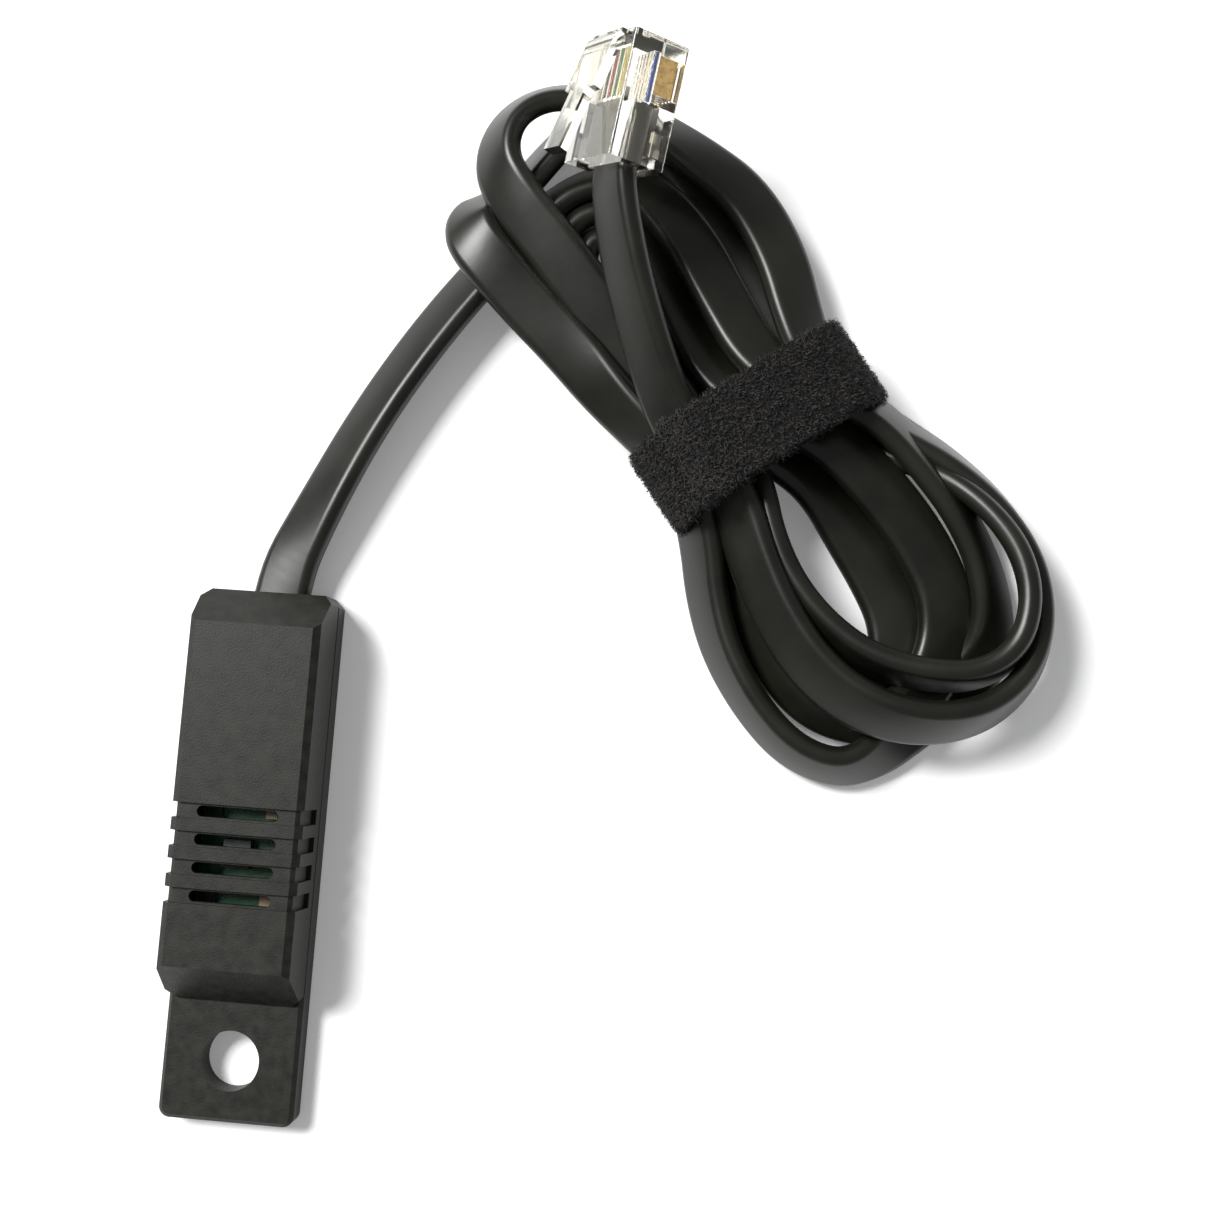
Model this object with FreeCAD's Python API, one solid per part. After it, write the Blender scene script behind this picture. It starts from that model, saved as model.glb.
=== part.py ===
import FreeCAD, Part
import math
import os

from FreeCAD import Matrix, Placement, Vector

# Wired temperature and humidity probe: a small vented case with a mounting tab, and a flat
# six-core cord that is folded into a hank, tied with a hook-and-loop strap and ended by a
# clear six-way modular plug.
# Frame: millimetres, +Z up from the surface that the case lies on, +Y along the case from
# the mounting tab towards the cord, origin under the middle of the case.

# ---------------------------------------------------------------- case, outside
CASE_LENGTH = 58.0
CASE_WIDTH = 15.0
CASE_HEIGHT = 9.0
TAB_LENGTH = 13.0
TAB_THICKNESS = 3.0
TAB_HOLE_DIAMETER = 6.5
TAB_HOLE_FROM_END = 6.6
TAB_CORNER_RADIUS = 1.2
TAB_EDGE_CHAMFER = 0.45
SIDE_DRAFT = 0.3
LONG_CHAMFER_WIDTH = 0.75
LONG_CHAMFER_DROP = 0.6
CORD_END_SLOPE_RUN = 3.9
CORD_END_SLOPE_DROP = 4.3
TAB_END_SLOPE_RUN = 4.2
TAB_END_STEP = 0.3
CORNER_BEVEL = 1.1

# ---------------------------------------------------------------- case, inside
COVER_WALL = 1.4
BASE_WALL = 1.3
FLOOR = 1.0
VENT_COUNT = 4
VENT_PITCH = 3.0
VENT_LENGTH = 8.9
VENT_WIDTH = 1.2
VENT_MIDDLE_Y = 0.2
GROOVE_WIDTH = 1.65
GROOVE_DEPTH = 0.45
GROOVE_LOW_Z = 4.2
TONGUE_THICKNESS = 0.9
TONGUE_WIDTH = 4.0
TONGUE_ROOT = 1.5
TONGUE_REACH = 1.6
TONGUE_GAP = 0.08
BARB_HEIGHT = 0.5
BARB_REACH = 0.25
TONGUE_PLACES = (-8.0, 12.0)

# ---------------------------------------------------------------- circuit board
BOARD_LENGTH = 28.0
BOARD_WIDTH = 10.0
BOARD_THICKNESS = 1.0
BOARD_CORD_END_Y = 17.0
POST_HEIGHT = 2.6
POST_SIZE = 2.0
POST_INSET = 1.6
PEG_RADIUS = 0.7
PEG_GAP = 0.06
PEG_HEIGHT = 1.3
SENSOR_SIZE = 3.0
SENSOR_HEIGHT = 1.1
SENSOR_X = -0.6
CHIP_LENGTH = 4.9
CHIP_WIDTH = 3.9
CHIP_HEIGHT = 1.4
CHIP_Y = 9.0
CHIP_LEAD_PITCH = 1.27
CHIP_LEAD_REACH = 1.0
CHIP_LEADS_A_SIDE = 4
CHIP_LEAD_WIDTH = 0.4
CHIP_LIFT = 0.15
SMALL_PART_LENGTH = 2.0
SMALL_PART_WIDTH = 1.25
CAPACITOR_HEIGHT = 1.0
RESISTOR_HEIGHT = 0.5
CAPACITOR_PLACES = ((2.9, 5.2), (3.0, -4.4))
RESISTOR_PLACES = ((-3.4, 5.2), (3.2, 0.2), (-3.3, -4.6))
WIRE_COLOURS = ("white", "black", "red", "green", "yellow", "blue")
BOARD_WIRE_PITCH = 1.5
SOLDER_RADIUS = 0.62
SOLDER_HEIGHT = 0.45
WIRE_TAIL_ON_BOARD = 1.6
WIRE_STRAIGHT = 0.9
WIRE_BEND_FROM_BOARD = 0.4

# ---------------------------------------------------------------- cord
CORD_WIDTH = 6.4
CORD_THICKNESS = 2.4
CORD_ROUNDING = 1.1
CORE_PITCH = 1.0
CORE_RADIUS = 0.42
CORD_X = 0.4
CORD_SLOT_GAP = 0.25
CORD_INNER_Y = 20.5
CLAMP_RIB_THICKNESS = 1.0
CLAMP_RIB_WIDTH = 7.4
CLAMP_RIB_FROM_WALL = 1.2
CLAMP_RIB_PITCH = 1.6
CORD_STRAIGHT_OUTSIDE = 0.9
LEAD_POINTS = (
    (4.0, 38.6, 2.9),
    (9.2, 49.6, 3.8),
    (15.6, 60.2, 4.3),
    (22.4, 69.2, 4.2),
)
TAIL_POINTS = (
    (44.6, 49.4, 9.7),
    (41.2, 56.2, 11.8),
    (37.6, 64.4, 14.5),
)
TAIL_TURN = 3.2

# ---------------------------------------------------------------- hank and its strap
HANK_OUTLINE = (
    (17.2, 69.5), (18.9, 74.2), (20.6, 79.5), (24.4, 85.2), (33.0, 86.4), (44.2, 82.9),
    (52.6, 76.0), (58.6, 65.4), (63.6, 57.4), (73.0, 51.8), (81.5, 42.3), (85.3, 31.0),
    (81.5, 21.5), (72.0, 16.6), (63.1, 12.9), (55.0, 16.8), (49.0, 26.2), (45.4, 37.0),
    (40.8, 47.2), (30.6, 56.9), (21.2, 65.0),
)
HANK_BOTTOM = 0.2
HANK_TOP = 10.4
HANK_EDGE_RADIUS = 1.3
WAIST_CENTRE = (52.8, 50.3)
WAIST_HALF_WIDTH = 11.5
WAIST_BOTTOM = 1.75
WAIST_TOP = 10.9
STRAP_ANGLE = 36.8
STRAP_WIDTH = 10.0
STRAP_THICKNESS = 1.6
STRAP_CORNER = 3.6
STRAP_FLAP_THICKNESS = 1.4
STRAP_FLAP_LENGTH = 17.0

# ---------------------------------------------------------------- modular plug
PLUG_WIDTH = 9.65
PLUG_LENGTH = 12.7
PLUG_THICKNESS = 6.6
PLUG_REAR = (35.6, 74.6, 16.7)
PLUG_YAW = 9.0
PLUG_PITCH = 8.0
PLUG_ROLL = 36.0
PLUG_CORNER = 0.35
CONTACT_PITCH = 1.02
CONTACT_THICKNESS = 0.3
CONTACT_LENGTH = 3.9
CONTACT_FROM_NOSE = 1.3
CONTACT_SLOT_GAP = 0.03
CONTACT_RECESS = 0.35
CORE_HEIGHT_IN_PLUG = -0.35
CORE_CHANNEL_GAP = 0.06
CORE_END_FROM_NOSE = 1.1
JACKET_IN_PLUG = 6.2
CAVITY_GAP = 0.2
CLAMP_BAR_LENGTH = 2.4
CLAMP_BAR_WIDTH = 6.2
CLAMP_BAR_FROM_REAR = 1.4
CLAMP_BAR_GAP = 0.12
LATCH_ROOT_WIDTH = 6.0
LATCH_TIP_WIDTH = 3.25
LATCH_THICKNESS = 1.1
LATCH_HINGE_FROM_NOSE = 1.0
LATCH_HINGE_RADIUS = 0.6
LATCH_HINGE_GAP = 0.06
LATCH_SHOULDER_FROM_REAR = 6.1
LATCH_ANGLE = 13.5
LATCH_PAST_REAR = 0.4
LATCH_SIDE_GAP = 0.1
LATCH_REST_OVERLAP = 0.2

# ---------------------------------------------------------------- worked out once
HALF_WIDTH = CASE_WIDTH / 2
TAB_END_Y = -CASE_LENGTH / 2
CORD_END_Y = CASE_LENGTH / 2
BODY_START_Y = TAB_END_Y + TAB_LENGTH
PARTING_Z = TAB_THICKNESS
CORD_Z = FLOOR + CORD_SLOT_GAP + CORD_THICKNESS / 2
CORD_RADIUS_LIMIT = 3 * CORD_WIDTH
BOARD_Z = FLOOR + POST_HEIGHT
BOARD_TOP = BOARD_Z + BOARD_THICKNESS
ROOF_Z = CASE_HEIGHT - COVER_WALL
OVERSHOOT = 1.0


# ================================================================ general helpers
def box(x0, x1, y0, y1, z0, z1):
    return Part.makeBox(x1 - x0, y1 - y0, z1 - z0, Vector(x0, y0, z0))


def fused(shapes):
    result = shapes[0]
    for shape in shapes[1:]:
        result = result.fuse(shape)
    return result.removeSplitter()


def inset_polygon(points, distance):
    """A convex polygon, given anticlockwise, with every side moved inwards."""
    lines = []
    count = len(points)
    for index in range(count):
        ax, ay = points[index]
        bx, by = points[(index + 1) % count]
        length = math.hypot(bx - ax, by - ay)
        nx = -(by - ay) / length
        ny = (bx - ax) / length
        lines.append((nx, ny, nx * ax + ny * ay + distance))
    corners = []
    for index in range(count):
        a1, b1, c1 = lines[index - 1]
        a2, b2, c2 = lines[index]
        det = a1 * b2 - a2 * b1
        corners.append(((c1 * b2 - c2 * b1) / det, (a1 * c2 - a2 * c1) / det))
    return corners


def prism(points, place, direction):
    """A polygon, put in space by place(u, v), pushed along a vector."""
    corners = [place(u, v) for u, v in points]
    wire = Part.makePolygon(corners + corners[:1])
    return Part.Face(wire).extrude(direction)


def rounded_corner(before, corner, after):
    """The arc at one corner, as large as its two runs allow, and its radius."""
    into = before - corner
    away = after - corner
    reach = 0.45 * min(into.Length, away.Length)
    half_turn = (math.pi - into.getAngle(away)) / 2
    radius = reach / math.tan(half_turn)
    into.normalize()
    away.normalize()
    inward = (into + away).normalize()
    middle = corner + inward * (radius / math.cos(half_turn) - radius)
    return Part.Arc(corner + into * reach, middle, corner + away * reach), radius


def joined(arcs, start, end):
    """Arcs with straight runs before, between and after them."""
    edges = []
    for arc in arcs:
        if (arc.StartPoint - start).Length > 1e-6:
            edges.append(Part.LineSegment(start, arc.StartPoint).toShape())
        edges.append(arc.toShape())
        start = arc.EndPoint
    if (end - start).Length > 1e-6:
        edges.append(Part.LineSegment(start, end).toShape())
    return Part.Wire(edges)


def rounded_path(points):
    """Straight runs joined by tangent arcs that are as large as their runs allow."""
    corners = [Vector(*point) for point in points]
    pairs = [rounded_corner(*three) for three in zip(corners, corners[1:], corners[2:])]
    arcs = [arc for arc, _ in pairs]
    return joined(arcs, corners[0], corners[-1]), [radius for _, radius in pairs]


def rounded_outline(points, z):
    """A closed outline at one height, rounded at every point."""
    corners = [Vector(x, y, z) for x, y in points]
    around = zip(corners[-1:] + corners[:-1], corners, corners[1:] + corners[:1])
    arcs = [rounded_corner(*three)[0] for three in around]
    return joined(arcs, arcs[0].StartPoint, arcs[0].StartPoint)


def flat_section(width, thickness, rounding):
    """The cord's outline in the X-Z plane, centred on the origin."""
    outline = Part.Face(Part.makePolygon([
        Vector(-width / 2, 0, -thickness / 2), Vector(width / 2, 0, -thickness / 2),
        Vector(width / 2, 0, thickness / 2), Vector(-width / 2, 0, thickness / 2),
        Vector(-width / 2, 0, -thickness / 2)]))
    block = outline.extrude(Vector(0, 1, 0))
    long_edges = [edge for edge in block.Edges if abs(edge.Vertexes[0].Y - edge.Vertexes[1].Y) > 0.5]
    block = block.makeFillet(rounding, long_edges)
    return [face for face in block.Faces if abs(face.CenterOfMass.y) < 1e-6][0].OuterWire


def level_section(point, heading):
    """The cord's outline square to a heading, with its broad side level."""
    ahead = Vector(heading).normalize()
    across = ahead.cross(Vector(0, 0, 1)).normalize()
    up = across.cross(ahead)
    section = flat_section(CORD_WIDTH, CORD_THICKNESS, CORD_ROUNDING)
    section.Placement = Placement(Matrix(across.x, ahead.x, up.x, point.x,
                                         across.y, ahead.y, up.y, point.y,
                                         across.z, ahead.z, up.z, point.z,
                                         0, 0, 0, 1))
    return section


def flat_tube(name, points):
    """A flat cord along a route, with its broad side kept level."""
    path, radii = rounded_path(points)
    start = Vector(*points[0])
    section = level_section(start, Vector(*points[1]) - start)
    area = Part.Face(section).Area
    sweep = Part.BRepOffsetAPI.MakePipeShell(path)
    sweep.setBiNormalMode(Vector(0, 0, 1))
    sweep.add(section)
    sweep.build()
    sweep.makeSolid()
    tube = sweep.shape()
    print(name, "length", round(path.Length, 1), "volume", round(tube.Volume, 1),
          "section x length", round(area * path.Length, 1),
          "radii", [round(radius, 1) for radius in radii], "at least", CORD_RADIUS_LIMIT)
    return tube


def round_wire(points, radius):
    path, _ = rounded_path(points)
    start = Vector(*points[0])
    heading = Vector(*points[1]) - start
    section = Part.Wire(Part.makeCircle(radius, start, heading))
    return path.makePipeShell([section], True, False)


def write(name, shape):
    shape.exportStep("parts/" + name + ".step")
    print(name, len(shape.Solids), "solids", round(shape.Volume, 2), "mm3", shape.isValid())


# ================================================================ case
def side_profile():
    """The case's outside seen along X, as (y, z)."""
    low = PARTING_Z
    return [(BODY_START_Y, low), (CORD_END_Y, low),
            (CORD_END_Y, CASE_HEIGHT - CORD_END_SLOPE_DROP),
            (CORD_END_Y - CORD_END_SLOPE_RUN, CASE_HEIGHT),
            (BODY_START_Y + TAB_END_SLOPE_RUN, CASE_HEIGHT),
            (BODY_START_Y, low + TAB_END_STEP)]


def cross_profile():
    """The case's outside seen along Y, as (x, z)."""
    top_half = HALF_WIDTH - SIDE_DRAFT
    flat_half = top_half - LONG_CHAMFER_WIDTH
    edge_z = CASE_HEIGHT - LONG_CHAMFER_DROP
    return [(-HALF_WIDTH, PARTING_Z), (HALF_WIDTH, PARTING_Z), (top_half, edge_z),
            (flat_half, CASE_HEIGHT), (-flat_half, CASE_HEIGHT), (-top_half, edge_z)]


def plan_profile(start_y):
    """The case seen from above, as (x, y), with bevelled corners."""
    w = HALF_WIDTH
    bevel = CORNER_BEVEL
    return [(-w + bevel, start_y), (w - bevel, start_y), (w, start_y + bevel),
            (w, CORD_END_Y - bevel), (w - bevel, CORD_END_Y), (-w + bevel, CORD_END_Y),
            (-w, CORD_END_Y - bevel), (-w, start_y + bevel)]


def lowered(profile, depth):
    """A profile with its parting line moved down, so that the inside stays open below."""
    lowest = min(z for _, z in profile)
    return [(u, z - depth if z == lowest else z) for u, z in profile]


def cover_body(inset, depth):
    """The solid outside of the cover, moved inwards and reaching lower by depth."""
    side = inset_polygon(lowered(side_profile(), depth), inset)
    cross = inset_polygon(lowered(cross_profile(), depth), inset)
    plan = inset_polygon(plan_profile(BODY_START_Y), inset)
    along_x = prism(side, lambda y, z: Vector(-CASE_WIDTH, y, z), Vector(2 * CASE_WIDTH, 0, 0))
    along_y = prism(cross, lambda x, z: Vector(x, -CASE_LENGTH, z), Vector(0, 2 * CASE_LENGTH, 0))
    along_z = prism(plan, lambda x, y: Vector(x, y, -CASE_HEIGHT), Vector(0, 0, 3 * CASE_HEIGHT))
    return along_x.common(along_y).common(along_z)


def vent_centres():
    first = VENT_MIDDLE_Y - VENT_PITCH * (VENT_COUNT - 1) / 2
    return [first + VENT_PITCH * index for index in range(VENT_COUNT)]


def vent_slot(y):
    radius = VENT_WIDTH / 2
    half = VENT_LENGTH / 2 - radius
    low = ROOF_Z - OVERSHOOT
    height = COVER_WALL + 2 * OVERSHOOT
    shapes = [box(-half, half, y - radius, y + radius, low, low + height)]
    for side in (-1, 1):
        shapes.append(Part.makeCylinder(radius, height, Vector(side * half, y, low)))
    return fused(shapes)


def cord_slot(low_z, high_z):
    """The opening in the end wall that the cord leaves by."""
    half = CORD_WIDTH / 2 + CORD_SLOT_GAP
    return box(CORD_X - half, CORD_X + half, CORD_END_Y - 2 * COVER_WALL, CORD_END_Y + OVERSHOOT,
               low_z, high_z)


def clamp_rib_places():
    """Where the ribs that grip the cord stand: two below it, one above and between."""
    inner_face = CORD_END_Y - COVER_WALL
    first = inner_face - CLAMP_RIB_FROM_WALL
    return (first, first - 2 * CLAMP_RIB_PITCH), (first - CLAMP_RIB_PITCH,)


def housing_base():
    floor_plan = plan_profile(TAB_END_Y)
    plate = prism(floor_plan, lambda x, y: Vector(x, y, 0), Vector(0, 0, PARTING_Z))
    corner_block = box(-CASE_WIDTH, CASE_WIDTH, TAB_END_Y - 1, TAB_END_Y + 2 * TAB_CORNER_RADIUS,
                       -OVERSHOOT, PARTING_Z + OVERSHOOT)
    plate = plate.cut(corner_block)
    tab_tip = box(-HALF_WIDTH, HALF_WIDTH, TAB_END_Y, TAB_END_Y + 2 * TAB_CORNER_RADIUS, 0, PARTING_Z)
    uprights = [edge for edge in tab_tip.Edges
                if abs(edge.Vertexes[0].Z - edge.Vertexes[1].Z) > 0.5 * PARTING_Z
                and edge.CenterOfMass.y < TAB_END_Y + 0.1]
    tab_tip = tab_tip.makeFillet(TAB_CORNER_RADIUS, uprights)
    plate = plate.fuse(tab_tip).removeSplitter()
    rim = [edge for edge in plate.Edges
           if abs(edge.CenterOfMass.z - PARTING_Z) < 1e-6
           and (edge.CenterOfMass.y < TAB_END_Y + 2 * TAB_CORNER_RADIUS)]
    plate = plate.makeChamfer(TAB_EDGE_CHAMFER, rim)
    hole = Part.makeCylinder(TAB_HOLE_DIAMETER / 2, PARTING_Z + 2 * OVERSHOOT,
                             Vector(0, TAB_END_Y + TAB_HOLE_FROM_END, -OVERSHOOT))
    plate = plate.cut(hole)
    inside = inset_polygon(plan_profile(BODY_START_Y), BASE_WALL)
    tray = prism(inside, lambda x, y: Vector(x, y, FLOOR), Vector(0, 0, PARTING_Z))
    plate = plate.cut(tray)
    plate = plate.cut(cord_slot(FLOOR, PARTING_Z + OVERSHOOT))
    pocket_half = TONGUE_WIDTH / 2 + TONGUE_GAP
    for y in TONGUE_PLACES:
        reach = HALF_WIDTH - BASE_WALL + BARB_REACH + TONGUE_GAP
        low = PARTING_Z - TONGUE_REACH - TONGUE_GAP
        plate = plate.cut(box(-reach, reach, y - pocket_half, y + pocket_half,
                              low, low + BARB_HEIGHT + 2 * TONGUE_GAP))
    shapes = [plate]
    for x, y in post_places():
        half = POST_SIZE / 2
        shapes.append(box(x - half, x + half, y - half, y + half, FLOOR, BOARD_Z))
    for x, y in peg_places():
        shapes.append(Part.makeCylinder(PEG_RADIUS, BOARD_THICKNESS + PEG_HEIGHT / 2,
                                        Vector(x, y, BOARD_Z)))
    for y in clamp_rib_places()[0]:
        half = CLAMP_RIB_THICKNESS / 2
        shapes.append(box(CORD_X - CLAMP_RIB_WIDTH / 2, CORD_X + CLAMP_RIB_WIDTH / 2,
                          y - half, y + half, FLOOR, CORD_Z - CORD_THICKNESS / 2))
    return fused(shapes)


def post_places():
    x = BOARD_WIDTH / 2 - POST_INSET
    far = BOARD_CORD_END_Y - BOARD_LENGTH + POST_INSET
    near = BOARD_CORD_END_Y - POST_INSET - WIRE_TAIL_ON_BOARD
    return [(side * x, y) for side in (-1, 1) for y in (far, near)]


def peg_places():
    """Two of the posts, in opposite corners, carry locating pegs."""
    places = post_places()
    return [places[0], places[3]]


def housing_cover():
    shell = cover_body(0, 0)
    for y in vent_centres():
        slab = box(-CASE_WIDTH, CASE_WIDTH, y - GROOVE_WIDTH / 2, y + GROOVE_WIDTH / 2,
                   GROOVE_LOW_Z, CASE_HEIGHT + OVERSHOOT)
        skin = cover_body(0, 0).cut(cover_body(GROOVE_DEPTH, COVER_WALL))
        shell = shell.cut(slab.common(skin))
    shell = shell.cut(cover_body(COVER_WALL, 2 * COVER_WALL + OVERSHOOT))
    for y in vent_centres():
        shell = shell.cut(vent_slot(y))
    shell = shell.cut(cord_slot(PARTING_Z - OVERSHOOT, CORD_Z + CORD_THICKNESS / 2 + CORD_SLOT_GAP))
    shapes = [shell]
    outer = HALF_WIDTH - BASE_WALL - TONGUE_GAP
    low = PARTING_Z - TONGUE_REACH
    for y in TONGUE_PLACES:
        for side in (-1, 1):
            near, far = sorted((side * (outer - TONGUE_THICKNESS), side * outer))
            shapes.append(box(near, far, y - TONGUE_WIDTH / 2, y + TONGUE_WIDTH / 2,
                              low, PARTING_Z + TONGUE_ROOT))
            near, far = sorted((side * outer, side * (outer + BARB_REACH)))
            shapes.append(box(near, far, y - TONGUE_WIDTH / 2, y + TONGUE_WIDTH / 2,
                              low, low + BARB_HEIGHT))
    for y in clamp_rib_places()[1]:
        half = CLAMP_RIB_THICKNESS / 2
        rib = box(CORD_X - CLAMP_RIB_WIDTH / 2, CORD_X + CLAMP_RIB_WIDTH / 2, y - half, y + half,
                  CORD_Z + CORD_THICKNESS / 2, CASE_HEIGHT)
        shapes.append(rib.common(cover_body(COVER_WALL / 2, 0)))
    return fused(shapes)


# ================================================================ circuit board
def circuit_board():
    board = box(-BOARD_WIDTH / 2, BOARD_WIDTH / 2, BOARD_CORD_END_Y - BOARD_LENGTH, BOARD_CORD_END_Y,
                BOARD_Z, BOARD_TOP)
    for x, y in peg_places():
        board = board.cut(Part.makeCylinder(PEG_RADIUS + PEG_GAP, BOARD_THICKNESS,
                                            Vector(x, y, BOARD_Z)))
    return board


def humidity_sensor():
    half = SENSOR_SIZE / 2
    can = box(SENSOR_X - half, SENSOR_X + half, VENT_MIDDLE_Y - half, VENT_MIDDLE_Y + half,
              BOARD_TOP, BOARD_TOP + SENSOR_HEIGHT)
    window = Part.makeCylinder(SENSOR_SIZE / 4, SENSOR_HEIGHT / 3,
                               Vector(SENSOR_X, VENT_MIDDLE_Y, BOARD_TOP + SENSOR_HEIGHT * 2 / 3))
    return can.cut(window)


def chip_body():
    low = BOARD_TOP + CHIP_LIFT
    return box(-CHIP_WIDTH / 2, CHIP_WIDTH / 2, CHIP_Y - CHIP_LENGTH / 2, CHIP_Y + CHIP_LENGTH / 2,
               low, BOARD_TOP + CHIP_HEIGHT)


def chip_leads():
    leads = []
    first = CHIP_Y - CHIP_LEAD_PITCH * (CHIP_LEADS_A_SIDE - 1) / 2
    thickness = CHIP_LIFT
    knee = CHIP_WIDTH / 2 + CHIP_LEAD_REACH / 2
    top = BOARD_TOP + CHIP_HEIGHT / 2
    for index in range(CHIP_LEADS_A_SIDE):
        y = first + CHIP_LEAD_PITCH * index
        outline = [(CHIP_WIDTH / 2, top), (knee, top), (knee, BOARD_TOP + thickness),
                   (CHIP_WIDTH / 2 + CHIP_LEAD_REACH, BOARD_TOP + thickness),
                   (CHIP_WIDTH / 2 + CHIP_LEAD_REACH, BOARD_TOP),
                   (knee - thickness, BOARD_TOP), (knee - thickness, top - thickness),
                   (CHIP_WIDTH / 2, top - thickness)]
        for side in (-1, 1):
            points = [Vector(side * x, y - CHIP_LEAD_WIDTH / 2, z) for x, z in outline]
            face = Part.Face(Part.makePolygon(points + points[:1]))
            leads.append(face.extrude(Vector(0, CHIP_LEAD_WIDTH, 0)))
    return Part.makeCompound(leads)


def small_parts(places, height):
    blocks = []
    for x, y in places:
        blocks.append(box(x - SMALL_PART_WIDTH / 2, x + SMALL_PART_WIDTH / 2,
                          y - SMALL_PART_LENGTH / 2, y + SMALL_PART_LENGTH / 2,
                          BOARD_TOP, BOARD_TOP + height))
    return Part.makeCompound(blocks)


def core_offset(index):
    return (index - (len(WIRE_COLOURS) - 1) / 2) * CORE_PITCH


def board_wire_x(index):
    return (index - (len(WIRE_COLOURS) - 1) / 2) * BOARD_WIRE_PITCH


def board_wire(index):
    """One core from the end of the cord's jacket up to its pad on the board."""
    x_cord = CORD_X + core_offset(index)
    x_board = board_wire_x(index)
    top = BOARD_TOP + CORE_RADIUS
    return round_wire([(x_cord, CORD_INNER_Y, CORD_Z),
                       (x_cord, CORD_INNER_Y - WIRE_STRAIGHT, CORD_Z),
                       (x_board, BOARD_CORD_END_Y + WIRE_BEND_FROM_BOARD, top),
                       (x_board, BOARD_CORD_END_Y - WIRE_TAIL_ON_BOARD, top)], CORE_RADIUS)


def solder_joints():
    joints = []
    for index in range(len(WIRE_COLOURS)):
        y = BOARD_CORD_END_Y - WIRE_TAIL_ON_BOARD
        cone = Part.makeCone(SOLDER_RADIUS, SOLDER_RADIUS / 2, SOLDER_HEIGHT,
                             Vector(board_wire_x(index), y, BOARD_TOP))
        joints.append(cone.cut(board_wire(index)))
    return Part.makeCompound(joints)


# ================================================================ hank and strap
def strap_frame():
    """The strap's own axes: across the hank, along the hank, up."""
    angle = math.radians(STRAP_ANGLE)
    across = Vector(math.cos(angle), math.sin(angle), 0)
    along = Vector(math.sin(angle), -math.cos(angle), 0)
    return Vector(WAIST_CENTRE[0], WAIST_CENTRE[1], 0), across, along


def band_section(half_width, low, high, corner, length, shift=0.0):
    """A block with rounded long edges that lies across the hank."""
    centre, across, along = strap_frame()
    base = centre - along * (length / 2)
    corners = []
    for u, z in ((-half_width, low), (half_width, low), (half_width, high), (-half_width, high)):
        corners.append(base + across * (u + shift) + Vector(0, 0, z))
    block = Part.Face(Part.makePolygon(corners + corners[:1])).extrude(along * length)
    long_edges = [edge for edge in block.Edges
                  if abs((edge.Vertexes[1].Point - edge.Vertexes[0].Point).dot(along)) > 0.9 * length]
    return block.makeFillet(corner, long_edges)


def waist_core(length):
    return band_section(WAIST_HALF_WIDTH, WAIST_BOTTOM, WAIST_TOP, STRAP_CORNER, length)


def strap_outside(length):
    return band_section(WAIST_HALF_WIDTH + STRAP_THICKNESS, WAIST_BOTTOM - STRAP_THICKNESS,
                        WAIST_TOP + STRAP_THICKNESS, STRAP_CORNER + STRAP_THICKNESS, length)


def cord_strap():
    """One strip wrapped round the hank, with its free end lapped over the top."""
    ring = strap_outside(STRAP_WIDTH).cut(waist_core(STRAP_WIDTH + OVERSHOOT))
    low = WAIST_TOP + STRAP_THICKNESS
    start = STRAP_FLAP_LENGTH / 2 - WAIST_HALF_WIDTH + STRAP_THICKNESS
    flap = band_section(STRAP_FLAP_LENGTH / 2, low - STRAP_THICKNESS / 2, low + STRAP_FLAP_THICKNESS,
                        STRAP_FLAP_THICKNESS / 2, STRAP_WIDTH, start)
    return fused([ring, flap])


def cord_hank():
    outline = Part.Face(rounded_outline(HANK_OUTLINE, HANK_BOTTOM))
    lobes = outline.extrude(Vector(0, 0, HANK_TOP - HANK_BOTTOM))
    rims = [edge for edge in lobes.Edges
            if abs(edge.BoundBox.ZMax - edge.BoundBox.ZMin) < 1e-3]
    lobes = lobes.makeFillet(HANK_EDGE_RADIUS, rims)
    tall = band_section(WAIST_HALF_WIDTH + 3 * STRAP_THICKNESS, -STRAP_CORNER,
                        WAIST_TOP + STRAP_CORNER, STRAP_THICKNESS, STRAP_WIDTH)
    return fused([lobes.cut(tall), waist_core(STRAP_WIDTH)])


# ================================================================ plug
def plug_placement():
    """Puts the plug's own axes in place: X its width, Y towards its nose, Z its latch side."""
    yaw = math.radians(PLUG_YAW)
    pitch = math.radians(PLUG_PITCH)
    roll = math.radians(PLUG_ROLL)
    nose = Vector(math.sin(yaw) * math.cos(pitch), math.cos(yaw) * math.cos(pitch), math.sin(pitch))
    level = nose.cross(Vector(0, 0, 1)).normalize()
    upright = level.cross(nose)
    width = level * math.sin(roll) + upright * math.cos(roll)
    latch_side = width.cross(nose)
    x, y, z = PLUG_REAR
    return Placement(Matrix(width.x, nose.x, latch_side.x, x,
                            width.y, nose.y, latch_side.y, y,
                            width.z, nose.z, latch_side.z, z,
                            0, 0, 0, 1))


def placed(shape):
    moved = shape.copy()
    moved.Placement = plug_placement().multiply(shape.Placement)
    return moved


def contact_x(index):
    return (index - (len(WIRE_COLOURS) - 1) / 2) * CONTACT_PITCH


def contact_blade(index, gap, low, high):
    half = CONTACT_THICKNESS / 2 + gap
    nose = PLUG_LENGTH - CONTACT_FROM_NOSE
    x = contact_x(index)
    return box(x - half, x + half, nose - CONTACT_LENGTH - gap, nose + gap, low, high)


def clamp_bar_box(gap, low, high):
    half = CLAMP_BAR_WIDTH / 2 + gap
    return box(-half, half, CLAMP_BAR_FROM_REAR - gap, CLAMP_BAR_FROM_REAR + CLAMP_BAR_LENGTH + gap,
               low, high)


def core_end_y():
    return PLUG_LENGTH - CORE_END_FROM_NOSE


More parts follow.
